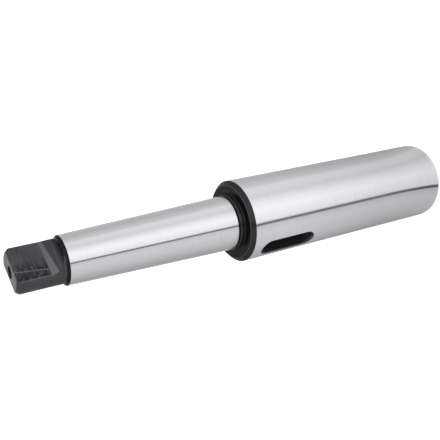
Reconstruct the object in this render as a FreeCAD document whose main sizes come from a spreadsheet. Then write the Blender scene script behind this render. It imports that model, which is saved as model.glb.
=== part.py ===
import FreeCAD, Part
import Sketcher

import os

# A taper extension sleeve: a number 3 taper shank with a tang, and a number 3 taper socket in its plain body.
# It is one piece of steel. It stands on the face of its socket's mouth, which is the plane Z = 0, with its
# axis along +Z and the tang at the top. All sizes are in millimetres.

# Every driving size: alias in the sheet, value, what it measures.
SIZES = [
    ("body_diameter", 36.0, "outside of the plain body"),
    ("body_length", 112.0, "mouth face to shoulder face"),
    ("mouth_chamfer", 0.8, "outer edge of the mouth face"),
    ("shoulder_chamfer", 1.8, "outer edge of the shoulder face"),
    ("gauge_diameter", 23.825, "both tapers at their gauge planes"),
    ("taper_ratio", 19.922, "length of taper for each unit of diameter"),
    ("neck_length", 3.0, "shoulder face to the shank's gauge plane"),
    ("neck_diameter", 23.0, "undercut before the shank's gauge plane"),
    ("collar_diameter", 24.6, "low collar between undercut and shoulder"),
    ("collar_length", 0.4, "straight part of the low collar"),
    ("cove_radius", 0.8, "hollow corner between collar and shoulder face"),
    ("shank_length", 94.0, "gauge plane to the end of the tang"),
    ("taper_length", 74.0, "gauge plane to the small end of the shank's taper"),
    ("tang_diameter", 18.0, "round sides of the tang"),
    ("tang_chamfer", 1.3, "turned chamfer round the tang's end"),
    ("tang_thickness", 7.9, "across the tang's two flats"),
    ("flat_length", 13.0, "straight part of each flat"),
    ("flat_corner", 6.0, "hollow run-out at the end of each flat"),
    ("centre_diameter", 5.0, "mouth of the centre hole in the tang"),
    ("pilot_diameter", 2.0, "pilot of the centre hole"),
    ("pilot_depth", 5.5, "end of the tang to the end of the pilot's straight side"),
    ("socket_chamfer", 0.6, "inner edge of the mouth"),
    ("relief_diameter", 20.2, "straight bore at the socket's inner end"),
    ("socket_depth", 84.0, "mouth face to the end of the straight bore"),
    ("slot_start", 78.0, "mouth face to the near end of the drift slot"),
    ("slot_length", 27.0, "drift slot along the axis"),
    ("slot_width", 8.3, "across the drift slot"),
]

# Depth of a 118 degree drill point, and of a 60 degree centre cone, for each unit of its radius.
DRILL_POINT = 0.6009
CENTRE_CONE = 1.7321

FULL_TURN = 360.0


class Size:
    """A length that knows its present value and the sheet expression that drives it."""

    def __init__(self, value, text):
        self.value = value
        self.text = text

    def __add__(self, other):
        return Size(self.value + other.value, f"({self.text} + {other.text})")

    def __sub__(self, other):
        return Size(self.value - other.value, f"({self.text} - {other.text})")

    def __mul__(self, other):
        return Size(self.value * other.value, f"({self.text} * {other.text})")

    def __truediv__(self, other):
        return Size(self.value / other.value, f"({self.text} / {other.text})")

    def __neg__(self):
        return Size(-self.value, f"(0 - {self.text})")


def plain(number):
    """A fixed number, such as a half or a cone's slope, for use among the sizes."""
    return Size(number, str(number))


ZERO = plain(0)
HALF = plain(0.5)


def make_sheet(doc):
    """The spreadsheet that holds the driving sizes, one to a row."""
    sheet = doc.addObject("Spreadsheet::Sheet", "sizes")
    for row, (alias, value, meaning) in enumerate(SIZES, start=1):
        sheet.set(f"A{row}", meaning)
        sheet.set(f"B{row}", str(value))
        sheet.setAlias(f"B{row}", alias)
    doc.recompute()
    return sheet


class Sleeve:
    """The sleeve's sizes, its outlines and the body that they make."""

    def __init__(self, doc, sheet):
        self.doc = doc
        self.size = {
            alias: Size(sheet.get(alias), f"{sheet.Name}.{alias}") for alias, _, _ in SIZES
        }
        self.body = doc.addObject("PartDesign::Body", "sleeve")
        self.body.Label = "sleeve"

    def half(self, alias):
        """Half of a named size, such as a radius."""
        return HALF * self.size[alias]

    def gauge_plane(self):
        """Height of the plane where the shank's taper has its gauge diameter."""
        return self.size["body_length"] + self.size["neck_length"]

    def tang_end(self):
        """Height of the flat end of the tang, the top of the part."""
        return self.gauge_plane() + self.size["shank_length"]

    def turned_outline(self):
        """Half of the turned outside, from the middle of the mouth face round to the end of the tang."""
        size = self.size
        body = self.half("body_diameter")
        collar = self.half("collar_diameter")
        neck = self.half("neck_diameter")
        gauge = self.half("gauge_diameter")
        tang = self.half("tang_diameter")
        small = gauge - self.half("taper_length") / size["taper_ratio"]
        shoulder = size["body_length"]
        cove_out = collar + size["cove_radius"]
        cove_top = shoulder + size["cove_radius"]
        collar_top = cove_top + size["collar_length"]
        small_end = self.gauge_plane() + size["taper_length"]
        return [
            (ZERO, ZERO),
            (body - size["mouth_chamfer"], ZERO),
            (body, size["mouth_chamfer"]),
            (body, shoulder - size["shoulder_chamfer"]),
            (body - size["shoulder_chamfer"], shoulder),
            (cove_out, shoulder),
            (collar, cove_top, cove_top, False),
            (collar, collar_top),
            (neck, collar_top + collar - neck),
            (neck, self.gauge_plane()),
            (gauge, self.gauge_plane()),
            (small, small_end),
            (tang, small_end + small - tang),
            (tang, self.tang_end() - size["tang_chamfer"]),
            (tang - size["tang_chamfer"], self.tang_end()),
            (ZERO, self.tang_end()),
        ]

    def socket_outline(self):
        """Half of the taper socket: mouth chamfer, taper, straight relief bore and drill point."""
        size = self.size
        gauge = self.half("gauge_diameter")
        relief = self.half("relief_diameter")
        chamfer = size["socket_chamfer"]
        taper_end = (size["gauge_diameter"] - size["relief_diameter"]) * size["taper_ratio"]
        return [
            (ZERO, ZERO),
            (gauge + chamfer, ZERO),
            (gauge - HALF * chamfer / size["taper_ratio"], chamfer),
            (relief, taper_end),
            (relief, size["socket_depth"]),
            (ZERO, size["socket_depth"] + plain(DRILL_POINT) * relief),
        ]

    def slot_outline(self):
        """The drift slot: two sides along the axis and two half-round ends."""
        half = self.half("slot_width")
        low = self.size["slot_start"] + half
        high = self.size["slot_start"] + self.size["slot_length"] - half
        return [
            (half, high),
            (-half, high, high, True),
            (-half, low),
            (half, low, low, True),
        ]

    def flat_outline(self):
        """What one flat takes off the tang, in side view: the flat and its hollow run-out."""
        size = self.size
        flat = self.half("tang_thickness")
        flat_end = self.tang_end() - size["flat_length"]
        wall = flat_end - size["flat_corner"]
        return [
            (flat, self.tang_end()),
            (flat, flat_end),
            (flat + size["flat_corner"], wall, flat_end, True),
            (size["tang_diameter"], wall),
            (size["tang_diameter"], self.tang_end()),
        ]

    def centre_outline(self):
        """Half of the centre hole in the tang's end: a 60 degree cone, its pilot and the drill point."""
        mouth = self.half("centre_diameter")
        pilot = self.half("pilot_diameter")
        pilot_end = self.tang_end() - self.size["pilot_depth"]
        return [
            (ZERO, self.tang_end()),
            (mouth, self.tang_end()),
            (pilot, self.tang_end() - plain(CENTRE_CONE) * (mouth - pilot)),
            (pilot, pilot_end),
            (ZERO, pilot_end - plain(DRILL_POINT) * pilot),
        ]

    def origin(self, role):
        """One of the body's own origin planes or axes, by its role."""
        return next(part for part in self.body.Origin.OriginFeatures if part.Role == role)

    def sketch(self, name, outline):
        """A sketch on the plane through the axis, with across as +X and up as +Z."""
        sketch = self.body.newObject("Sketcher::SketchObject", name)
        sketch.AttachmentSupport = [(self.origin("XZ_Plane"), "")]
        sketch.MapMode = "FlatFace"
        draw(sketch, outline)
        return sketch

    def turn(self, kind, name, outline):
        """A full turn of an outline about the axis: a Revolution adds metal and a Groove takes it away."""
        turning = self.body.newObject(kind, name)
        turning.Profile = self.sketch(name + "_profile", outline)
        turning.ReferenceAxis = (turning.Profile[0], ["V_Axis"])
        turning.Angle = FULL_TURN
        self.doc.recompute()
        return turning

    def cut_through(self, name, outline):
        """A pocket that runs right through the piece, both ways from the plane of its sketch."""
        pocket = self.body.newObject("PartDesign::Pocket", name)
        pocket.Profile = self.sketch(name + "_profile", outline)
        pocket.Midplane = True
        pocket.Type = "ThroughAll"
        self.doc.recompute()
        return pocket

    def repeat_opposite(self, name, feature):
        """The same cut again on the opposite side of the axis."""
        pair = self.body.newObject("PartDesign::PolarPattern", name)
        pair.Originals = [feature]
        pair.Axis = (self.origin("Z_Axis"), [""])
        pair.Angle = FULL_TURN
        pair.Occurrences = 2
        self.body.Tip = pair
        self.doc.recompute()
        return pair

    def build(self):
        """Turns, bores and slots the sleeve, then mills and centres its tang. Returns the body."""
        steps = [
            lambda: self.turn("PartDesign::Revolution", "blank", self.turned_outline()),
            lambda: self.turn("PartDesign::Groove", "socket", self.socket_outline()),
            lambda: self.cut_through("drift_slot", self.slot_outline()),
            lambda: self.repeat_opposite(
                "tang_flats", self.cut_through("tang_flat", self.flat_outline())
            ),
            lambda: self.turn("PartDesign::Groove", "centre_hole", self.centre_outline()),
        ]
        left = []
        for step in steps:
            self.body.Tip = step()
            self.doc.recompute()
            left.append(self.body.Shape.Volume)
        if any(after >= before for before, after in zip(left, left[1:])):
            raise RuntimeError("a cut took no metal away")
        return self.body


def draw(sketch, outline):
    """Draws a closed outline and ties it to the sizes.

    A corner is (across, up) for a straight line to it. It is (across, up, hub's height, turns left) for an
    arc to it, where the last is True for an arc that turns anticlockwise.
    """
    points = [FreeCAD.Vector(corner[0].value, corner[1].value, 0) for corner in outline]
    for index, corner in enumerate(outline):
        start = points[index - 1]
        end = points[index]
        if len(corner) == 2:
            sketch.addGeometry(Part.LineSegment(start, end), False)
        else:
            sketch.addGeometry(arc_between(start, end, corner[2].value, corner[3]), False)
    ends = [(1, 2) if len(corner) == 2 or corner[3] else (2, 1) for corner in outline]
    for index in range(len(outline)):
        before = (index - 1) % len(outline)
        joint = Sketcher.Constraint("Coincident", before, ends[before][1], index, ends[index][0])
        sketch.addConstraint(joint)
    for index, corner in enumerate(outline):
        hold(sketch, "DistanceX", index, ends[index][1], points[index].x, corner[0])
        hold(sketch, "DistanceY", index, ends[index][1], points[index].y, corner[1])
        if len(corner) > 2:
            hold(sketch, "DistanceY", index, 3, corner[2].value, corner[2])


def arc_between(start, end, hub_height, turns_left):
    """The arc from start to end whose hub is at the given height."""
    middle = (start + end) * 0.5
    along = end - start
    across = middle.x - (hub_height - middle.y) * along.y / along.x
    hub = FreeCAD.Vector(across, hub_height, 0)
    circle = Part.Circle(hub, FreeCAD.Vector(0, 0, 1), (start - hub).Length)
    first, last = (start, end) if turns_left else (end, start)
    return Part.ArcOfCircle(circle, circle.parameter(first), circle.parameter(last))


def hold(sketch, kind, geometry, point, value, size):
    """Ties one point's place across or up to a size; a place of zero is tied to the axis itself."""
    if size is ZERO:
        axis = -2 if kind == "DistanceX" else -1
        sketch.addConstraint(Sketcher.Constraint("PointOnObject", geometry, point, axis))
        return
    index = sketch.addConstraint(Sketcher.Constraint(kind, -1, 1, geometry, point, value))
    sketch.setExpression(f"Constraints[{index}]", size.text)


def check(doc, bodies):
    """Stops the build if a feature failed or a sub-part isn't one sound solid."""
    for item in doc.Objects:
        if "Invalid" in item.State or "Error" in item.State:
            raise RuntimeError(f"{item.Name} failed: {item.State}")
    for body in bodies:
        shape = body.Shape
        if shape.isNull() or not shape.isValid() or len(shape.Solids) != 1:
            raise RuntimeError(f"{body.Label} isn't one valid solid")
        print(body.Label, "volume", round(shape.Volume, 1), "box", shape.BoundBox)


def main():
    """Builds the document and writes one STEP file for each sub-part."""
    doc = FreeCAD.newDocument("taper_sleeve")
    sheet = make_sheet(doc)
    bodies = [Sleeve(doc, sheet).build()]
    check(doc, bodies)
    os.makedirs("parts", exist_ok=True)
    for body in bodies:
        body.Shape.exportStep(os.path.join("parts", body.Label + ".step"))


main()
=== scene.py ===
import logging
import math
from dataclasses import dataclass, field
from enum import Enum

import bmesh
import bpy
from mathutils import Euler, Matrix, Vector


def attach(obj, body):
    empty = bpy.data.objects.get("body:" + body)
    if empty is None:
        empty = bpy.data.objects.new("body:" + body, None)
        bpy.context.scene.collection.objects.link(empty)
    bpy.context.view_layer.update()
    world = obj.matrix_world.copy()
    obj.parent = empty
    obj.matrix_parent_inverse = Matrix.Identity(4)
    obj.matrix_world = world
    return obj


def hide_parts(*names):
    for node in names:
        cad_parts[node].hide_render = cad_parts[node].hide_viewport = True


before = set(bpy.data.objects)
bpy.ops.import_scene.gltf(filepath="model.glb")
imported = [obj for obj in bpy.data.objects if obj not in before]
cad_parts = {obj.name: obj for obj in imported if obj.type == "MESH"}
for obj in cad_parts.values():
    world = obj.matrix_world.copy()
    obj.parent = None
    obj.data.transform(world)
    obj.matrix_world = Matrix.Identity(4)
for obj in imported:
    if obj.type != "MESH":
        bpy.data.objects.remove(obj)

log = logging.getLogger("taper_sleeve")
# What a node's input takes: another node's output, or a plain number or colour.
Value = bpy.types.NodeSocket | float | tuple[float, ...]
MM = 0.001
TURN = 2.0 * math.pi
# Depth of a 118 degree drill point and of a 60 degree countersink, each as a share of its radius.
DRILL_POINT = 0.6009
COUNTERSINK = math.sqrt(3.0)
# The ridge on a flat runs where Y is RIDGE_PLACE + RIDGE_SKEW * Z, in metres.
RIDGE_PLACE = -0.0291
RIDGE_SKEW = 0.123
# How many spacings long the marks are, on turned and on milled faces.
TURNED_STRETCH = 20.0
MILLED_STRETCH = 7.0
# The radius, in metres, at which the length of marks round the axis is measured.
MARK_RADIUS = 0.012
# A quarter turn, so that the gloss is drawn out across the marks.
GLOSS_TURN = 0.25
# Shares of the fine and the broad noise in the height of the marks.
FINE_SHARE = 0.65
BROAD_SHARE = 0.35
# How much the marks, the patches, the specks and the ridge tell in a surface's colour, gloss and height.
DEEP_IN_COLOR = 0.55
LINE_IN_COLOR = 0.7
MARKS_IN_GLOSS = 0.6
PATCHES_IN_GLOSS = 0.4
TORN_IN_GLOSS = 0.2
SPECKS_IN_HEIGHT = 0.3
LINE_IN_HEIGHT = 1.5
# The values between which masks rise from 0 to 1, and between which gloss carries roughness up.
DEEP_MARKS = (0.53, 0.68)
TORN_CUTS = (0.40, 0.54)
PATCH_NOISE = (0.35, 0.68)
SPECK_NOISE = (0.60, 0.72)
CLOUD_NOISE = (0.3, 0.7)
GLOSS_SPAN = (0.3, 0.75)
# A face whose normal has less Y than this runs along Y, as the walls of the slot and the flats do.
ALONG_Y = 1e-4
# A milled face whose normal has more Z than this is part of a hollow run-out.
HOLLOW_LEAN = 0.03
# A face whose normal points more than this to one side of its radius is cut, and not turned.
OFF_RADIUS = 0.02
# A face whose normal has this much Z is level, and looks up.
LEVEL = 0.9999
# A point nearer to the axis than this, in metres, is on it.
ON_AXIS = 1e-6


class Skin(Enum):
    """The finishes that the sleeve's faces can have, numbered as its material slots."""

    GROUND = 0
    BLACK_TURNED = 1
    BLACK_TANG = 2
    BLACK_MILLED = 3
    BLACK_RUBBED = 4
    BLACK_CHAMFER = 5
    BLACK_HOLLOW = 6


@dataclass(frozen=True)
class Step:
    """One straight or rounded stretch of a turned profile, and the finish that it carries.

    Args:
        r: Radius at the stretch's end, in millimetres.
        z: Height of the stretch's end, in millimetres.
        skin: The finish of the surface that leads to this end.
    """

    r: float
    z: float
    skin: Skin


def link(obj: bpy.types.Object) -> bpy.types.Object:
    """Puts an object in the scene's own collection and gives it back."""
    bpy.context.scene.collection.objects.link(obj)
    return obj


def mesh_object(name: str, bm: bmesh.types.BMesh, *materials: bpy.types.Material) -> bpy.types.Object:
    """Turns a finished bmesh into a linked object.

    Args:
        name: The object's name.
        bm: The mesh, which is freed here.
        *materials: The object's materials, in the order of its faces' numbers.

    Returns:
        The new object.
    """
    mesh = bpy.data.meshes.new(name)
    for material in materials:
        mesh.materials.append(material)
    bm.to_mesh(mesh)
    bm.free()
    return link(bpy.data.objects.new(name, mesh))


def ring(bm: bmesh.types.BMesh, radius: float, height: float, count: int) -> list[bmesh.types.BMVert]:
    """Adds one ring of points round the axis.

    Args:
        bm: The mesh that takes the points.
        radius: The ring's radius, in metres.
        height: The ring's height, in metres.
        count: How many points it has.

    Returns:
        The points, in order.
    """
    points = []
    for index in range(count):
        turn = TURN * index / count
        points.append(bm.verts.new((radius * math.cos(turn), radius * math.sin(turn), height)))
    return points


class NodeBench:
    """A short way to write shader nodes: add, set and join.

    Args:
        tree: The node tree to write in.
    """

    def __init__(self, tree: bpy.types.NodeTree) -> None:
        self.tree = tree

    def add(self, kind: str, **values: object) -> bpy.types.Node:
        """Adds a node.

        Args:
            kind: The node's type, without its ShaderNode prefix.
            **values: Properties of the node.

        Returns:
            The new node.
        """
        node = self.tree.nodes.new("ShaderNode" + kind)
        for key, value in values.items():
            setattr(node, key, value)
        return node

    def feed(self, source: Value, node: bpy.types.Node, name: str | int) -> None:
        """Joins an output socket to an input, or sets the input to a plain value.

        Args:
            source: The output socket, or the plain value.
            node: The node that has the input.
            name: The input's name or number.
        """
        if isinstance(source, bpy.types.NodeSocket):
            self.tree.links.new(source, node.inputs[name])
        else:
            node.inputs[name].default_value = source

    def math(self, operation: str, *values: Value) -> bpy.types.NodeSocket:
        """One step of arithmetic on sockets and numbers.

        Args:
            operation: Blender's name for the step.
            *values: What it works on, in order.

        Returns:
            The result's socket.
        """
        node = self.add("Math", operation=operation)
        for index, value in enumerate(values):
            self.feed(value, node, index)
        return node.outputs[0]

    def blend(self, factor: Value, a: Value, b: Value) -> bpy.types.NodeSocket:
        """Mixes two colours.

        Args:
            factor: How much of b shows.
            a: The first colour.
            b: The second colour.

        Returns:
            The mixed colour's socket.
        """
        node = self.add("Mix", data_type="RGBA")
        self.feed(factor, node, 0)
        self.feed(a, node, 6)
        self.feed(b, node, 7)
        return node.outputs[2]

    def span(
        self,
        value: Value,
        low: float,
        high: float,
        out_low: Value,
        out_high: Value,
    ) -> bpy.types.NodeSocket:
        """Carries a value from one range into another, held within it.

        Args:
            value: The value.
            low: One end of its range.
            high: The other end of its range.
            out_low: What the first end becomes.
            out_high: What the other end becomes.

        Returns:
            The new value's socket.
        """
        node = self.add("MapRange")
        for index, item in enumerate((value, low, high, out_low, out_high)):
            self.feed(item, node, index)
        return node.outputs[0]

    def mask(self, value: Value, between: tuple[float, float]) -> bpy.types.NodeSocket:
        """A mask that rises from 0 to 1 while a value goes from one limit to the other."""
        return self.span(value, *between, 0.0, 1.0)

    def noise(
        self,
        place: bpy.types.NodeSocket,
        scale: Value,
        detail: float = 2.0,
        roughness: float = 0.5,
        dimensions: str = "3D",
    ) -> bpy.types.NodeSocket:
        """Smooth noise.

        Args:
            place: Where on the noise to read.
            scale: How close together its waves are.
            detail: How many finer waves are added.
            roughness: How strong the finer waves are.
            dimensions: Blender's name for the space that it fills.

        Returns:
            The noise's socket, about 0.5 on average.
        """
        node = self.add("TexNoise", noise_dimensions=dimensions)
        self.feed(place, node, "Vector")
        self.feed(scale, node, "Scale")
        self.feed(detail, node, "Detail")
        self.feed(roughness, node, "Roughness")
        return node.outputs[0]


class EffectGroups:
    """The effects that several finishes share, each one node group made once.

    Args:
        sleeve: The sleeve, whose sizes say where the tang's edges are.
    """

    def __init__(self, sleeve: "Sleeve") -> None:
        self.marks = self.machining_marks()
        self.handling = self.handling_marks()
        self.ridge = self.cutter_ridge()
        self.edges = self.worn_and_highlit_edges(sleeve)
        self.bands = self.hollow_bands(sleeve)

    @staticmethod
    def start(
        name: str,
        inputs: dict[str, float | None],
        outputs: tuple[str, ...],
    ) -> tuple[bpy.types.NodeTree, NodeBench, dict[str, bpy.types.NodeSocket], bpy.types.Node]:
        """Begins a group with named sockets.

        Args:
            name: The group's name.
            inputs: Each input's default value, or None where it takes a vector.
            outputs: The outputs' names; each gives a number.

        Returns:
            The group, its bench, the sockets of its inputs by name, and its output node.
        """
        group = bpy.data.node_groups.new(name, "ShaderNodeTree")
        for key, value in inputs.items():
            kind = "NodeSocketVector" if value is None else "NodeSocketFloat"
            socket = group.interface.new_socket(key, in_out="INPUT", socket_type=kind)
            if value is not None:
                socket.default_value = value
        for key in outputs:
            group.interface.new_socket(key, in_out="OUTPUT", socket_type="NodeSocketFloat")
        into = group.nodes.new("NodeGroupInput")
        given = {key: into.outputs[key] for key in inputs}
        return group, NodeBench(group), given, group.nodes.new("NodeGroupOutput")

    def cutter_ridge(self) -> bpy.types.NodeTree:
        """The line on a milled flat where two cutter passes meet, which runs a little askew.

        Returns:
            A group that gives a mask of the line, and one of the torn surface on the line's -Y side, which
            fades out on the other side.
        """
        group, bench, given, out = self.start(
            "CutterRidge",
            {"Across": 0.0, "Along": 0.0, "Place": RIDGE_PLACE, "Skew": RIDGE_SKEW, "Width": 0.0004},
            ("Line", "Torn"),
        )
        drift = bench.math("MULTIPLY", given["Along"], given["Skew"])
        middle = bench.math("ADD", given["Place"], drift)
        away = bench.math("SUBTRACT", given["Across"], middle)
        distance = bench.math("DIVIDE", bench.math("ABSOLUTE", away), given["Width"])
        bench.feed(bench.span(distance, 0.0, 1.0, 1.0, 0.0), out, "Line")
        side = bench.math("DIVIDE", away, given["Width"])
        bench.feed(bench.span(side, 1.0, 14.0, 1.0, 0.0), out, "Torn")
        return group

    def machining_marks(self) -> bpy.types.NodeTree:
        """Fine parallel tool marks, stacked along one direction and uneven along their own length.

        Returns:
            A group that gives the marks' height and a mask of the deeper ones.
        """
        group, bench, given, out = self.start(
            "MachiningMarks",
            {"Across": 0.0, "Along": 0.0, "Spacing": 0.0003, "Stretch": TURNED_STRETCH},
            ("Height", "Deep"),
        )
        length = bench.math("MULTIPLY", given["Spacing"], given["Stretch"])
        place = bench.add("CombineXYZ")
        bench.feed(bench.math("DIVIDE", given["Across"], given["Spacing"]), place, "X")
        bench.feed(bench.math("DIVIDE", given["Along"], length), place, "Y")
        fine = bench.noise(place.outputs[0], scale=1.0, detail=3.0, roughness=0.65, dimensions="2D")
        broad = bench.noise(place.outputs[0], scale=0.22, dimensions="2D")
        height = bench.math(
            "ADD",
            bench.math("MULTIPLY", fine, FINE_SHARE),
            bench.math("MULTIPLY", broad, BROAD_SHARE),
        )
        bench.feed(height, out, "Height")
        bench.feed(bench.mask(height, DEEP_MARKS), out, "Deep")
        return group

    def handling_marks(self) -> bpy.types.NodeTree:
        """Uneven patches that oil and hands leave on a surface, with a few fine specks.

        Returns:
            A group that gives a mask of the patches and a mask of the specks.
        """
        group, bench, given, out = self.start(
            "HandlingMarks",
            {"Place": None, "Patch Size": 0.012, "Speck Size": 0.0006},
            ("Patches", "Specks"),
        )
        patch_scale = bench.math("DIVIDE", 1.0, given["Patch Size"])
        patches = bench.noise(given["Place"], scale=patch_scale, detail=4.0)
        bench.feed(bench.mask(patches, PATCH_NOISE), out, "Patches")
        speck_scale = bench.math("DIVIDE", 1.0, given["Speck Size"])
        specks = bench.noise(given["Place"], scale=speck_scale)
        bench.feed(bench.mask(specks, SPECK_NOISE), out, "Specks")
        return group

    def worn_and_highlit_edges(self, sleeve: "Sleeve") -> bpy.types.NodeTree:
        """The tang's sharp edges along both sides and the end of its flats, lightened as wear and as a
        painted edge highlight.

        Args:
            sleeve: The sleeve whose tang it is.

        Returns:
            A group that gives a mask of the lightened edges, worn and painted with a highlight.
        """
        group, bench, given, out = self.start(
            "WornAndHighlitEdges",
            {
                "Place": None,
                "Flat": sleeve.flat_distance * MM,
                "Side": sleeve.flat_side * MM,
                "Start": sleeve.flat_start * MM,
                "End": sleeve.top * MM,
                "Width": 0.00045,
            },
            ("Highlight",),
        )
        split = bench.add("SeparateXYZ")
        bench.feed(given["Place"], split, 0)
        across = bench.math("SUBTRACT", bench.math("ABSOLUTE", split.outputs["X"]), given["Flat"])
        aside = bench.math("SUBTRACT", bench.math("ABSOLUTE", split.outputs["Y"]), given["Side"])
        below = bench.math("SUBTRACT", given["End"], split.outputs["Z"])
        square = bench.math("MULTIPLY", across, across)
        to_side = bench.math("SQRT", bench.math("ADD", square, bench.math("MULTIPLY", aside, aside)))
        to_end = bench.math("SQRT", bench.math("ADD", square, bench.math("MULTIPLY", below, below)))
        away = bench.math("DIVIDE", bench.math("MINIMUM", to_side, to_end), given["Width"])
        above = bench.math("SUBTRACT", split.outputs["Z"], given["Start"])
        beside = bench.mask(bench.math("DIVIDE", above, given["Width"]), (-3.0, 0.0))
        bench.feed(bench.math("MULTIPLY", bench.span(away, 0.0, 1.0, 1.0, 0.0), beside), out, "Highlight")
        return group

    def hollow_bands(self, sleeve: "Sleeve") -> bpy.types.NodeTree:
        """The bands painted across a flat's hollow run-out: a painted highlight beside the flat, painted
        shade by the shank.

        Args:
            sleeve: The sleeve whose tang it is.

        Returns:
            A group that gives a mask of the painted highlight band, which widens towards -Y and has a faint
            painted highlight streak beyond it, and one of the painted shade band.
        """
        group, bench, given, out = self.start(
            "HollowBands",
            {
                "Place": None,
                "Start": sleeve.flat_start * MM,
                "Depth": sleeve.flat_corner * MM,
                "Reach": sleeve.flat_side * MM,
                "Wide": 0.54,
                "Narrow": 0.21,
                "Streak": 0.66,
            },
            ("Highlight", "Dark"),
        )
        split = bench.add("SeparateXYZ")
        bench.feed(given["Place"], split, 0)
        # A painted highlight band, a faint painted highlight streak beyond it, and painted shade near the
        # shank.
        below = bench.math("SUBTRACT", given["Start"], split.outputs["Z"])
        share = bench.math("DIVIDE", below, given["Depth"])
        side = bench.math("DIVIDE", split.outputs["Y"], given["Reach"])
        width = bench.span(side, -1.0, 1.0, given["Wide"], given["Narrow"])
        band = bench.span(bench.math("DIVIDE", share, width), 0.80, 1.05, 1.0, 0.0)
        off_streak = bench.math("ABSOLUTE", bench.math("SUBTRACT", share, given["Streak"]))
        streak = bench.span(off_streak, 0.0, 0.08, 0.3, 0.0)
        bench.feed(bench.math("MAXIMUM", band, streak), out, "Highlight")
        fade = bench.span(side, -0.7, 0.3, 0.3, 1.0)
        dark = bench.math("MULTIPLY", bench.mask(share, (0.72, 0.92)), fade)
        bench.feed(dark, out, "Dark")
        return group


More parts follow.
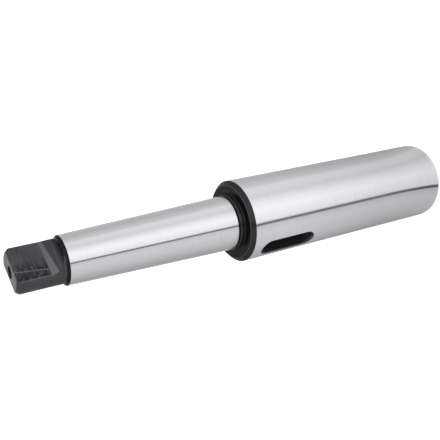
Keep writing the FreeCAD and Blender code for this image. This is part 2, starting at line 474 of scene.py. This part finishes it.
@dataclass(frozen=True)
class SteelFinish:
    """A steel surface with tool marks.

    Args:
        name: The material's name.
        color: Colour of the clean surface, linear.
        marked: Colour down in the marks, linear.
        roughness: Roughness of the surface between its limits.
        stretch: How far the surface's gloss is drawn out across its marks, 0 to 1.
        spacing: Distance between marks, in metres.
        relief: Height of the marks, in metres.
        around: True where the marks run round the axis, False where they run across the tang's flats.
        tint: How strongly patches change the colour.
        edge: How much of its light the surface keeps at a grazing angle, 0 to 1.
        metal: Share of bare metal in what it reflects; the rest is the matt black coat.
        ridge: True where two cutter passes meet on the surface.
        edge_wear_and_highlight: How strongly the tang's sharp edges are lightened, by handling wear and as a
            painted edge highlight, 0 to 1.
        hollow: True for the run-outs, which have a painted highlight band and a painted shade band.
        wear_and_highlight: The lighter colour of the ridge, of the tang's worn edges with their painted edge
            highlight, and of the run-outs' painted highlight band, linear.
    """

    name: str
    color: tuple[float, float, float]
    marked: tuple[float, float, float]
    roughness: tuple[float, float]
    stretch: float
    spacing: float
    relief: float
    around: bool
    tint: float
    edge: float = 1.0
    metal: float = 1.0
    ridge: bool = False
    edge_wear_and_highlight: float = 0.0
    hollow: bool = False
    wear_and_highlight: tuple[float, float, float] = (0.20, 0.20, 0.21)

    def build(self, effects: EffectGroups) -> bpy.types.Material:
        """Makes the material.

        Args:
            effects: The shared node groups.

        Returns:
            The finished material.
        """
        material = bpy.data.materials.new(self.name)
        material.use_nodes = True
        bench = NodeBench(material.node_tree)
        shader = material.node_tree.nodes["Principled BSDF"]
        place = bench.add("TexCoord").outputs["Object"]
        split = bench.add("SeparateXYZ")
        bench.feed(place, split, 0)
        marks = bench.add("Group", node_tree=effects.marks)
        bench.feed(split.outputs["Z"], marks, "Across")
        bench.feed(self.way_along(bench, split), marks, "Along")
        bench.feed(self.spacing, marks, "Spacing")
        bench.feed(TURNED_STRETCH if self.around else MILLED_STRETCH, marks, "Stretch")
        handling = bench.add("Group", node_tree=effects.handling)
        bench.feed(place, handling, "Place")
        patches = bench.math("MULTIPLY", handling.outputs["Patches"], self.tint)
        depth = bench.math("MULTIPLY", marks.outputs["Deep"], DEEP_IN_COLOR)
        base = bench.blend(depth, (*self.color, 1.0), (*self.marked, 1.0))
        base = bench.blend(patches, base, (*self.marked, 1.0))
        gloss = bench.math(
            "ADD",
            bench.math("MULTIPLY", marks.outputs["Height"], MARKS_IN_GLOSS),
            bench.math("MULTIPLY", handling.outputs["Patches"], PATCHES_IN_GLOSS),
        )
        height = bench.math(
            "SUBTRACT",
            marks.outputs["Height"],
            bench.math("MULTIPLY", handling.outputs["Specks"], SPECKS_IN_HEIGHT),
        )
        if self.ridge:
            ridge = bench.add("Group", node_tree=effects.ridge)
            bench.feed(split.outputs["Y"], ridge, "Across")
            bench.feed(split.outputs["Z"], ridge, "Along")
            line = ridge.outputs["Line"]
            torn = ridge.outputs["Torn"]
            cuts = bench.math("MULTIPLY", torn, bench.mask(marks.outputs["Height"], TORN_CUTS))
            base = bench.blend(cuts, base, (*self.marked, 1.0))
            base = bench.blend(bench.math("MULTIPLY", line, LINE_IN_COLOR), base, (*self.wear_and_highlight, 1.0))
            gloss = bench.math("ADD", gloss, bench.math("MULTIPLY", torn, TORN_IN_GLOSS))
            height = bench.math("ADD", height, bench.math("MULTIPLY", line, LINE_IN_HEIGHT))
        # The run-outs get a painted highlight band and a painted shade band in their colour.
        if self.hollow:
            bands = bench.add("Group", node_tree=effects.bands)
            bench.feed(place, bands, "Place")
            base = bench.blend(bands.outputs["Highlight"], base, (*self.wear_and_highlight, 1.0))
            base = bench.blend(bands.outputs["Dark"], base, (*self.marked, 1.0))
        # The tang's edges are lightened, as wear and as a painted edge highlight.
        if self.edge_wear_and_highlight > 0.0:
            edges = bench.add("Group", node_tree=effects.edges)
            bench.feed(place, edges, "Place")
            patchy = bench.span(handling.outputs["Patches"], 0.0, 1.0, 1.0, 0.4)
            lightened_edges = bench.math("MULTIPLY", bench.math("MULTIPLY", edges.outputs["Highlight"], patchy), self.edge_wear_and_highlight)
            base = bench.blend(lightened_edges, base, (*self.wear_and_highlight, 1.0))
        bench.feed(base, shader, "Base Color")
        bench.feed(bench.span(gloss, *GLOSS_SPAN, *self.roughness), shader, "Roughness")
        shader.inputs["Metallic"].default_value = self.metal
        shader.inputs["Specular Tint"].default_value = (self.edge, self.edge, self.edge, 1.0)
        shader.inputs["Anisotropic"].default_value = self.stretch
        shader.inputs["Anisotropic Rotation"].default_value = GLOSS_TURN
        if self.around:
            tangent = bench.add("Tangent", direction_type="RADIAL", axis="Z")
            bench.feed(tangent.outputs[0], shader, "Tangent")
        bump = bench.add("Bump")
        bench.feed(1.0, bump, "Strength")
        bench.feed(self.relief, bump, "Distance")
        bench.feed(height, bump, "Height")
        bench.feed(bump.outputs[0], shader, "Normal")
        return material

    def way_along(self, bench: NodeBench, split: bpy.types.Node) -> bpy.types.NodeSocket:
        """Distance along a mark: round the axis for a turned surface, across the flat for a milled one.

        Args:
            bench: The material's bench.
            split: The node that gives the place's X, Y and Z.

        Returns:
            The distance's socket, in metres.
        """
        if not self.around:
            return split.outputs["Y"]
        angle = bench.math("ARCTAN2", split.outputs["Y"], split.outputs["X"])
        return bench.math("MULTIPLY", angle, MARK_RADIUS)


FINISHES: dict[Skin, SteelFinish] = {
    Skin.GROUND: SteelFinish(
        name="GroundSteel",
        color=(0.80, 0.80, 0.835),
        marked=(0.72, 0.72, 0.75),
        roughness=(0.17, 0.22),
        stretch=0.95,
        spacing=0.00028,
        relief=0.0000015,
        around=True,
        tint=0.05,
    ),
    Skin.BLACK_TURNED: SteelFinish(
        name="BlackTurnedSteel",
        color=(0.023, 0.0225, 0.025),
        marked=(0.009, 0.0085, 0.010),
        roughness=(0.14, 0.30),
        stretch=0.85,
        spacing=0.00030,
        relief=0.000008,
        around=True,
        tint=0.35,
        edge=0.6,
        metal=0.85,
    ),
    Skin.BLACK_TANG: SteelFinish(
        name="BlackTangSteel",
        color=(0.086, 0.086, 0.095),
        marked=(0.036, 0.035, 0.040),
        roughness=(0.28, 0.42),
        stretch=0.6,
        spacing=0.00040,
        relief=0.000010,
        around=True,
        tint=0.45,
        edge=0.7,
        metal=0.7,
        edge_wear_and_highlight=0.8,
    ),
    Skin.BLACK_MILLED: SteelFinish(
        name="BlackMilledSteel",
        color=(0.094, 0.094, 0.108),
        marked=(0.014, 0.0135, 0.017),
        roughness=(0.30, 0.50),
        stretch=0.3,
        spacing=0.00034,
        relief=0.000050,
        around=False,
        tint=0.35,
        edge=0.7,
        metal=0.7,
        ridge=True,
        edge_wear_and_highlight=0.8,
    ),
    Skin.BLACK_RUBBED: SteelFinish(
        name="BlackPaleSteel",
        color=(0.124, 0.123, 0.140),
        marked=(0.070, 0.068, 0.077),
        roughness=(0.24, 0.36),
        stretch=0.3,
        spacing=0.00045,
        relief=0.000010,
        around=False,
        tint=0.30,
        edge=0.6,
        metal=0.8,
    ),
    Skin.BLACK_CHAMFER: SteelFinish(
        name="BlackChamferSteel",
        color=(0.038, 0.037, 0.041),
        marked=(0.018, 0.017, 0.019),
        roughness=(0.20, 0.32),
        stretch=0.6,
        spacing=0.00030,
        relief=0.000008,
        around=True,
        tint=0.35,
        edge=0.7,
        metal=0.8,
    ),
    # The run-outs' finish; its light colour is the painted highlight of its bands.
    Skin.BLACK_HOLLOW: SteelFinish(
        name="BlackHollowSteel",
        color=(0.066, 0.066, 0.074),
        marked=(0.016, 0.015, 0.018),
        roughness=(0.24, 0.38),
        stretch=0.3,
        spacing=0.00045,
        relief=0.000010,
        around=False,
        tint=0.15,
        edge=0.65,
        metal=0.75,
        hollow=True,
        wear_and_highlight=(0.150, 0.149, 0.176),
    ),
}


@dataclass
class Sleeve:
    """The whole sleeve, one piece of steel, in millimetres with its mouth face at height 0.

    A name that ends in _r is a radius. Each of the counts from `around` on says how finely a surface is
    divided: `around` round the axis, the rings along it, and the facets round a hollow cut. `edge` is the
    break on the shoulder's and the gauge plane's edges. `flare` is how much the slot's mouth opens between
    `flare_depth` below the body's surface and `flare_rise` above it. The reaches say how far the cutters
    run, as a share of the body's radius and of the tang's, and `flat_overrun` how far above the tang's end.
    `finishes` are the materials, in the order of Skin.
    """

    body_r: float = 18.0
    body_length: float = 112.0
    mouth_chamfer: float = 0.8
    shoulder_chamfer: float = 1.8
    gauge_r: float = 11.9125
    taper_slope: float = 0.5 / 19.922
    neck_length: float = 3.0
    neck_r: float = 11.5
    collar_r: float = 12.3
    collar_length: float = 0.4
    cove: float = 0.8
    shank_length: float = 94.0
    taper_length: float = 74.0
    tang_r: float = 9.0
    tang_chamfer: float = 1.3
    flat_distance: float = 3.95
    flat_length: float = 13.0
    flat_corner: float = 6.0
    centre_r: float = 2.5
    pilot_r: float = 1.0
    pilot_depth: float = 5.5
    socket_chamfer: float = 0.6
    relief_r: float = 10.1
    socket_depth: float = 84.0
    slot_start: float = 78.0
    slot_length: float = 27.0
    slot_r: float = 4.15
    edge: float = 0.12
    flare: float = 0.9
    flare_depth: float = 1.0
    flare_rise: float = 0.3
    cutter_reach: float = 1.4
    flat_reach: float = 1.5
    flat_overrun: float = 1.0
    around: int = 288
    body_rings: int = 44
    cove_rings: int = 6
    shank_rings: int = 30
    tang_rings: int = 8
    socket_rings: int = 12
    slot_facets: int = 32
    flat_facets: int = 16
    finishes: list[bpy.types.Material] = field(default_factory=list)

    @property
    def gauge_z(self) -> float:
        """Height of the shank's gauge plane."""
        return self.body_length + self.neck_length

    @property
    def top(self) -> float:
        """Height of the tang's end."""
        return self.gauge_z + self.shank_length

    @property
    def flat_start(self) -> float:
        """Height at which the flats begin, above their run-outs."""
        return self.top - self.flat_length

    @property
    def flat_side(self) -> float:
        """Distance from the axis to a flat's long edge, across the tang."""
        return math.sqrt(self.tang_r**2 - self.flat_distance**2)

    def outside(self) -> list[Step]:
        """The turned outside, from the mouth's inner edge up to the edge of the centre hole.

        Returns:
            The stretches, in order.
        """
        black = Skin.BLACK_TURNED
        ground = Skin.GROUND
        steps = [
            Step(self.body_r - self.mouth_chamfer, 0.0, ground),
            Step(self.body_r, self.mouth_chamfer, ground),
        ]
        side = self.body_length - self.shoulder_chamfer - self.mouth_chamfer
        for index in range(1, self.body_rings + 1):
            steps.append(Step(self.body_r, self.mouth_chamfer + side * index / self.body_rings, ground))
        rim = self.body_r - self.shoulder_chamfer
        steps.append(Step(rim + self.edge, self.body_length - self.edge, Skin.BLACK_CHAMFER))
        # The shoulder's edge break takes the pale finish as a painted edge highlight.
        steps.append(Step(rim - self.edge, self.body_length, Skin.BLACK_RUBBED))
        steps.append(Step(self.collar_r + self.cove, self.body_length, black))
        for index in range(1, self.cove_rings + 1):
            turn = math.radians(90.0 * index / self.cove_rings)
            r = self.collar_r + self.cove * (1.0 - math.sin(turn))
            z = self.body_length + self.cove * (1.0 - math.cos(turn))
            steps.append(Step(r, z, black))
        collar_z = self.body_length + self.cove + self.collar_length
        steps.append(Step(self.collar_r, collar_z, black))
        steps.append(Step(self.neck_r, collar_z + (self.collar_r - self.neck_r), Skin.BLACK_CHAMFER))
        steps.append(Step(self.neck_r, self.gauge_z, black))
        steps.append(Step(self.gauge_r - self.edge, self.gauge_z, black))
        steps.append(Step(self.gauge_r, self.gauge_z + self.edge, ground))
        for index in range(1, self.shank_rings + 1):
            z = self.edge + (self.taper_length - self.edge) * index / self.shank_rings
            steps.append(Step(self.gauge_r - z * self.taper_slope, self.gauge_z + z, ground))
        small_r = self.gauge_r - self.taper_length * self.taper_slope
        tang_z = self.gauge_z + self.taper_length + small_r - self.tang_r
        steps.append(Step(self.tang_r, tang_z, black))
        straight = self.top - self.tang_chamfer - tang_z
        for index in range(1, self.tang_rings + 1):
            steps.append(Step(self.tang_r, tang_z + straight * index / self.tang_rings, Skin.BLACK_TANG))
        steps.append(Step(self.tang_r - self.tang_chamfer, self.top, Skin.BLACK_TANG))
        steps.append(Step(self.centre_r, self.top, Skin.BLACK_RUBBED))
        return steps

    def inside(self) -> list[Step]:
        """The socket, from the foot of its drill point down to the mouth's inner edge.

        Returns:
            The stretches, in order.
        """
        black = Skin.BLACK_TURNED
        taper_end = (self.gauge_r - self.relief_r) / self.taper_slope
        steps = [Step(self.relief_r, self.socket_depth, black), Step(self.relief_r, taper_end, black)]
        for index in range(1, self.socket_rings + 1):
            z = taper_end + (self.socket_chamfer - taper_end) * index / self.socket_rings
            steps.append(Step(self.gauge_r - z * self.taper_slope, z, Skin.GROUND))
        steps.append(Step(self.gauge_r + self.socket_chamfer, 0.0, Skin.GROUND))
        return steps

    def blank(self) -> bpy.types.Object:
        """The turned and bored blank, before the slot and the flats.

        Returns:
            A closed mesh whose faces carry their finish as a material number.
        """
        bm = bmesh.new()
        point = self.socket_depth + DRILL_POINT * self.relief_r
        pilot_end = self.top - self.pilot_depth
        cone_end = self.top - (self.centre_r - self.pilot_r) * COUNTERSINK
        black = Skin.BLACK_TURNED
        path = self.inside() + self.outside()
        path += [Step(self.pilot_r, cone_end, black), Step(self.pilot_r, pilot_end, black)]
        first = bm.verts.new((0.0, 0.0, point * MM))
        last = bm.verts.new((0.0, 0.0, (pilot_end - DRILL_POINT * self.pilot_r) * MM))
        rings = [ring(bm, step.r * MM, step.z * MM, self.around) for step in path]
        for index in range(self.around):
            after = (index + 1) % self.around
            cap = bm.faces.new((first, rings[0][after], rings[0][index]))
            cap.material_index = black.value
            for low, high, step in zip(rings, rings[1:], path[1:]):
                face = bm.faces.new((low[index], low[after], high[after], high[index]))
                face.material_index = step.skin.value
            tip = bm.faces.new((rings[-1][index], rings[-1][after], last))
            tip.material_index = black.value
        bmesh.ops.recalc_face_normals(bm, faces=bm.faces)
        return mesh_object("sleeve_blank", bm, *self.finishes)

    def prism(
        self,
        name: str,
        near: list[tuple[float, float]],
        far: list[tuple[float, float]],
        reach: tuple[float, float],
        skin: Skin,
    ) -> bpy.types.Object:
        """A cutter that runs along Y from one outline in X and Z to another.

        Args:
            name: The cutter's name.
            near: Corners in X and Z at the first end, in millimetres.
            far: As many corners at the second end.
            reach: Where the two ends lie along Y, in millimetres.
            skin: The finish that the cut leaves; a milled cut's hollow run-out takes the hollow one.

        Returns:
            The cutter.
        """
        bm = bmesh.new()
        first = [bm.verts.new((x * MM, reach[0] * MM, z * MM)) for x, z in near]
        last = [bm.verts.new((x * MM, reach[1] * MM, z * MM)) for x, z in far]
        count = len(near)
        for index in range(count):
            after = (index + 1) % count
            bm.faces.new((first[index], first[after], last[after], last[index]))
        bm.faces.new(first)
        bm.faces.new(last[::-1])
        bmesh.ops.recalc_face_normals(bm, faces=bm.faces)
        for face in bm.faces:
            hollow = skin is Skin.BLACK_MILLED and abs(face.normal.z) > HOLLOW_LEAN
            face.material_index = (Skin.BLACK_HOLLOW if hollow else skin).value
        return mesh_object(name, bm, *self.finishes)

    def slot_outline(self, extra: float = 0.0) -> list[tuple[float, float]]:
        """The drift slot's outline, with two half-round ends.

        Args:
            extra: How far outside the slot's wall the outline runs, in millimetres.

        Returns:
            The outline's corners.
        """
        radius = self.slot_r + extra
        points = []
        for centre, start in (
            (self.slot_start + self.slot_length - self.slot_r, 0.0),
            (self.slot_start + self.slot_r, math.pi),
        ):
            for index in range(self.slot_facets + 1):
                turn = start + math.pi * index / self.slot_facets
                points.append((radius * math.cos(turn), centre + radius * math.sin(turn)))
        return points

    def flat_outline(self, side: int) -> list[tuple[float, float]]:
        """What one flat takes off the tang: the flat and its hollow run-out.

        Args:
            side: 1 for the flat towards +X, -1 for the other.

        Returns:
            The outline's corners.
        """
        out = self.flat_reach * self.tang_r
        above = self.top + self.flat_overrun
        points = [(self.flat_distance, above)]
        for index in range(self.flat_facets + 1):
            turn = math.pi + 0.5 * math.pi * index / self.flat_facets
            x = self.flat_distance + self.flat_corner * (1.0 + math.cos(turn))
            points.append((x, self.flat_start + self.flat_corner * math.sin(turn)))
        points += [(out, self.flat_start - self.flat_corner), (out, above)]
        return [(side * x, z) for x, z in points]

    def cut(self, piece: bpy.types.Object, cutter: bpy.types.Object) -> None:
        """Takes a cutter's shape out of a piece and deletes the cutter.

        Args:
            piece: The piece to cut.
            cutter: The shape to take out.
        """
        change = piece.modifiers.new("cut", "BOOLEAN")
        change.operation = "DIFFERENCE"
        change.solver = "EXACT"
        change.object = cutter
        graph = bpy.context.evaluated_depsgraph_get()
        made = bpy.data.meshes.new_from_object(piece.evaluated_get(graph))
        piece.modifiers.remove(change)
        old = piece.data
        piece.data = made
        bpy.data.meshes.remove(old)
        bpy.data.objects.remove(cutter)

    def shade(self, piece: bpy.types.Object) -> None:
        """Gives each face the normals of the turned, drilled or milled surface that it is part of.

        Args:
            piece: The piece, with its cuts made.
        """
        mesh = piece.data
        mesh.polygons.foreach_set("use_smooth", [True] * len(mesh.polygons))
        normals = [Vector((0.0, 0.0, 1.0))] * len(mesh.loops)
        for face in mesh.polygons:
            hub = self.hub_of(face) if abs(face.normal.y) < ALONG_Y else None
            for index in face.loop_indices:
                spot = mesh.vertices[mesh.loops[index].vertex_index].co
                normals[index] = self.normal_at(face, spot, hub)
        mesh.normals_split_custom_set(normals)

    def hub_of(self, face: bpy.types.MeshPolygon) -> Vector | None:
        """The centre that a hollow cut face curves round.

        Args:
            face: A face that runs along Y.

        Returns:
            The slot's centre for a face in its round ends, the run-out's for one between the gauge plane
            and the flats, and None for any other.
        """
        low = (self.slot_start + self.slot_r) * MM
        high = (self.slot_start + self.slot_length - self.slot_r) * MM
        end = self.flat_start * MM
        z = face.center.z
        if high < z < (self.slot_start + self.slot_length) * MM:
            return Vector((0.0, 0.0, high))
        if self.slot_start * MM < z < low:
            return Vector((0.0, 0.0, low))
        if self.gauge_z * MM < z < end and face.normal.z < LEVEL:
            side = math.copysign(1.0, face.center.x)
            return Vector((side * (self.flat_distance + self.flat_corner) * MM, 0.0, end))
        return None

    def normal_at(self, face: bpy.types.MeshPolygon, spot: Vector, hub: Vector | None) -> Vector:
        """The true surface normal at one corner of a face.

        Args:
            face: The face.
            spot: The corner's place.
            hub: The centre that the face curves round, if it is a hollow cut.

        Returns:
            The unit normal.
        """
        if hub is not None:
            return Vector((hub.x - spot.x, 0.0, hub.z - spot.z)).normalized()
        radial = Vector((face.center.x, face.center.y, 0.0)).normalized()
        across = Vector((face.normal.x, face.normal.y, 0.0))
        cut = abs(face.normal.y) < ALONG_Y or radial.cross(across).length > OFF_RADIUS
        if cut or math.hypot(spot.x, spot.y) < ON_AXIS:
            return face.normal.copy()
        slope = face.normal.dot(radial)
        here = Vector((spot.x, spot.y, 0.0)).normalized()
        return (here * slope + Vector((0.0, 0.0, face.normal.z))).normalized()

    def build(self) -> bpy.types.Object:
        """Makes the sleeve, already dressed in its finishes.

        Returns:
            The sleeve's object.
        """
        piece = self.blank()
        slot = self.slot_outline()
        flared = self.slot_outline(self.flare)
        through = (-self.cutter_reach * self.body_r, self.cutter_reach * self.body_r)
        self.cut(piece, self.prism("slot_cutter", slot, slot, through, Skin.BLACK_TANG))
        for side in (1, -1):
            depth = (side * (self.body_r - self.flare_depth), side * (self.body_r + self.flare_rise))
            self.cut(piece, self.prism("edge_cutter", slot, flared, depth, Skin.BLACK_TANG))
            flat = self.flat_outline(side)
            self.cut(piece, self.prism("flat_cutter", flat, flat, through, Skin.BLACK_MILLED))
        piece.name = "taper_sleeve"
        piece.data.name = "taper_sleeve"
        self.shade(piece)
        return piece


@dataclass(frozen=True)
class Camera:
    """The camera at the photograph's viewing angle.

    Args:
        place: Where it stands, in millimetres.
        turn: Its rotation about X, Y and Z, in degrees.
        lens: Its focal length, in millimetres.
        sensor: Its sensor's width, in millimetres.
        clip: The nearest and the furthest that it sees, in metres.
    """

    place: tuple[float, float, float] = (222.752, -150.599, 270.539)
    turn: tuple[float, float, float] = (-21.0372, 57.8504, -58.8723)
    lens: float = 58.408
    sensor: float = 36.0
    clip: tuple[float, float] = (0.01, 50.0)

    def build(self) -> None:
        """Makes the camera and hands it to the scene."""
        data = bpy.data.cameras.new("camera")
        data.lens = self.lens
        data.sensor_width = self.sensor
        data.clip_start, data.clip_end = self.clip
        camera = link(bpy.data.objects.new("camera", data))
        camera.location = Vector(self.place) * MM
        camera.rotation_euler = Euler([math.radians(angle) for angle in self.turn], "XYZ")
        bpy.context.scene.camera = camera


@dataclass(frozen=True)
class Lamp:
    """One soft lamp.

    Args:
        name: The lamp's name.
        place: Where it hangs, in metres.
        size: Its side, in metres.
        watts: Its power.
        aim: Height of the point on the axis that it looks at, in metres.
    """

    name: str
    place: tuple[float, float, float]
    size: float
    watts: float
    aim: float = 0.1

    def build(self) -> None:
        """Hangs the lamp, which lights the part but is neither seen nor reflected."""
        data = bpy.data.lights.new(self.name, "AREA")
        data.shape = "SQUARE"
        data.size = self.size
        data.energy = self.watts
        lamp = link(bpy.data.objects.new(self.name, data))
        lamp.location = self.place
        way = Vector((0.0, 0.0, self.aim)) - Vector(self.place)
        lamp.rotation_euler = way.to_track_quat("-Z", "Y").to_euler()
        lamp.visible_camera = False
        lamp.visible_glossy = False


@dataclass
class Studio:
    """A plain pale floor under a soft light tent.

    The tent's wall stands close round the part and shows only in reflections. Its light changes round the
    axis: two soft boxes opposite each other, each with a narrow dark gap beside it, and dimmer cloth between.

    Args:
        floor_half: Half the floor's side, in metres.
        floor_greys: The darkest and the lightest grey of the floor, linear.
        floor_glow: How much the floor shines by itself, to the eye and in reflections.
        sky_light: The sky's strength as a light; as a background it is 1.
        tent_wall: Radius and height of each ring of the tent's wall, in metres.
        tent_sides: How many sides the tent's wall has.
        camera_side: Angle round the axis, in degrees, from which the tent's light is counted.
        fall_off: The tent's strength at the floor, and the height in metres at which it reaches 1.
        lamps: The lamps.
        light_round: The tent's light at angles round the axis, in degrees and clockwise from camera_side
            when seen from above.
    """

    floor_half: float = 3.0
    floor_greys: tuple[float, float] = (0.90, 0.92)
    floor_glow: float = 0.35
    sky_light: float = 0.75
    tent_wall: tuple[tuple[float, float], ...] = ((0.0186, 0.0003), (0.030, 0.020), (0.036, 0.300))
    tent_sides: int = 96
    camera_side: float = -34.06
    fall_off: tuple[float, float] = (0.76, 0.085)
    lamps: tuple[Lamp, ...] = (
        Lamp("key_lamp", (0.9, 0.3, 1.1), 0.9, 9.0),
        Lamp("fill_lamp", (-0.4, -1.0, 0.9), 0.9, 6.0),
        Lamp("back_lamp", (-0.8, 0.8, 0.8), 0.9, 5.0),
    )
    light_round: tuple[tuple[float, float], ...] = (
        (-180.0, 1.05),
        (-160.0, 0.98),
        (-145.0, 0.70),
        (-118.0, 0.55),
        (-95.0, 0.54),
        (-76.0, 0.66),
        (-68.0, 0.70),
        (-61.0, 0.87),
        (-48.0, 0.86),
        (-39.0, 0.79),
        (-21.0, 1.06),
        (-9.0, 1.15),
        (5.0, 1.05),
        (15.0, 0.96),
        (17.0, 0.12),
        (20.0, 0.12),
        (22.0, 0.68),
        (36.0, 0.76),
        (60.0, 0.69),
        (80.0, 0.58),
        (100.0, 0.47),
        (120.0, 0.40),
        (140.0, 0.58),
        (156.0, 0.92),
        (159.0, 0.20),
        (163.0, 0.20),
        (166.0, 0.95),
        (180.0, 1.05),
    )

    def build_floor(self) -> bpy.types.Object:
        """The floor: white to the eye and in reflections, with the part's soft shadow on it.

        Returns:
            The floor's object.
        """
        bm = bmesh.new()
        half = self.floor_half
        square = ((-half, -half), (half, -half), (half, half), (-half, half))
        bm.faces.new([bm.verts.new((x, y, 0.0)) for x, y in square])
        floor = mesh_object("studio_floor", bm)
        material = bpy.data.materials.new("StudioFloor")
        material.use_nodes = True
        bench = NodeBench(material.node_tree)
        shader = material.node_tree.nodes["Principled BSDF"]
        cloud = bench.noise(bench.add("TexCoord").outputs["Object"], scale=6.0)
        dark, light = self.floor_greys
        lightness = bench.mask(cloud, CLOUD_NOISE)
        color = bench.blend(lightness, (dark, dark, dark, 1.0), (light, light, light, 1.0))
        bench.feed(color, shader, "Base Color")
        shader.inputs["Roughness"].default_value = 0.95
        shader.inputs["Specular IOR Level"].default_value = 0.1
        seen = bench.add("LightPath")
        direct = bench.math("MAXIMUM", seen.outputs["Is Camera Ray"], seen.outputs["Is Glossy Ray"])
        direct = bench.math("MAXIMUM", direct, seen.outputs["Is Transmission Ray"])
        bench.feed(color, shader, "Emission Color")
        bench.feed(bench.math("MULTIPLY", direct, self.floor_glow), shader, "Emission Strength")
        floor.data.materials.append(material)
        return floor

    def build_tent(self) -> bpy.types.Object:
        """The tent's wall, which the steel reflects and which lights nothing else.

        Returns:
            The tent's object.
        """
        bm = bmesh.new()
        sides = self.tent_sides
        rings = [ring(bm, radius, height, sides) for radius, height in self.tent_wall]
        for low, high in zip(rings, rings[1:]):
            for index in range(sides):
                after = (index + 1) % sides
                bm.faces.new((low[index], low[after], high[after], high[index]))
        tent = mesh_object("light_tent", bm)
        tent.data.materials.append(self.tent_cloth())
        tent.visible_camera = False
        tent.visible_diffuse = False
        tent.visible_shadow = False
        tent.visible_transmission = False
        tent.visible_volume_scatter = False
        return tent

    def tent_cloth(self) -> bpy.types.Material:
        """The light of the tent's wall, round the axis and up from the floor.

        Returns:
            The wall's material.
        """
        material = bpy.data.materials.new("TentCloth")
        material.use_nodes = True
        tree = material.node_tree
        tree.nodes.clear()
        bench = NodeBench(tree)
        split = bench.add("SeparateXYZ")
        bench.feed(bench.add("TexCoord").outputs["Object"], split, 0)
        angle = bench.math("ARCTAN2", split.outputs["Y"], split.outputs["X"])
        start = math.radians(self.camera_side + 180.0)
        turned = bench.math("SUBTRACT", start, angle)
        share = bench.math("DIVIDE", bench.math("FLOORED_MODULO", turned, TURN), TURN)
        ramp = bench.add("ValToRGB")
        bench.feed(share, ramp, 0)
        stops = ramp.color_ramp.elements
        while len(stops) > 1:
            stops.remove(stops[-1])
        for index, (side, level) in enumerate(self.light_round):
            spot = (side + 180.0) / 360.0
            stop = stops[0] if index == 0 else stops.new(spot)
            stop.position = spot
            stop.color = (level, level, level, 1.0)
        glow = bench.add("Emission")
        bench.feed(ramp.outputs[0], glow, "Color")
        least, height = self.fall_off
        bench.feed(bench.span(split.outputs["Z"], 0.0, height, least, 1.0), glow, "Strength")
        out = bench.add("OutputMaterial")
        bench.feed(glow.outputs[0], out, "Surface")
        return material

    def build_world(self) -> None:
        """A plain white sky, a little dimmer as a light than as a background."""
        world = bpy.data.worlds.new("studio")
        bpy.context.scene.world = world
        world.use_nodes = True
        tree = world.node_tree
        bench = NodeBench(tree)
        sky = tree.nodes["Background"]
        seen = bench.add("LightPath")
        bench.feed((1.0, 1.0, 1.0, 1.0), sky, "Color")
        strength = bench.span(seen.outputs["Is Camera Ray"], 0.0, 1.0, self.sky_light, 1.0)
        bench.feed(strength, sky, "Strength")

    def build(self) -> None:
        """Sets the floor, the tent, the lamps and the sky."""
        self.build_floor()
        self.build_tent()
        for lamp in self.lamps:
            lamp.build()
        self.build_world()
        bpy.context.scene.view_settings.view_transform = "Standard"


def main() -> None:
    """Builds the sleeve, the studio and the camera, in that order."""
    logging.basicConfig(level=logging.INFO, format="%(name)s: %(message)s")
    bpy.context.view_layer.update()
    sleeve = Sleeve()
    effects = EffectGroups(sleeve)
    sleeve.finishes = [FINISHES[skin].build(effects) for skin in Skin]
    piece = sleeve.build()
    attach(piece, "root")
    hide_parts("sleeve")
    log.info("%s: %d faces", piece.name, len(piece.data.polygons))
    Studio().build()
    log.info("studio ready")
    Camera().build()
    log.info("camera ready")


if __name__ == "__main__":
    main()
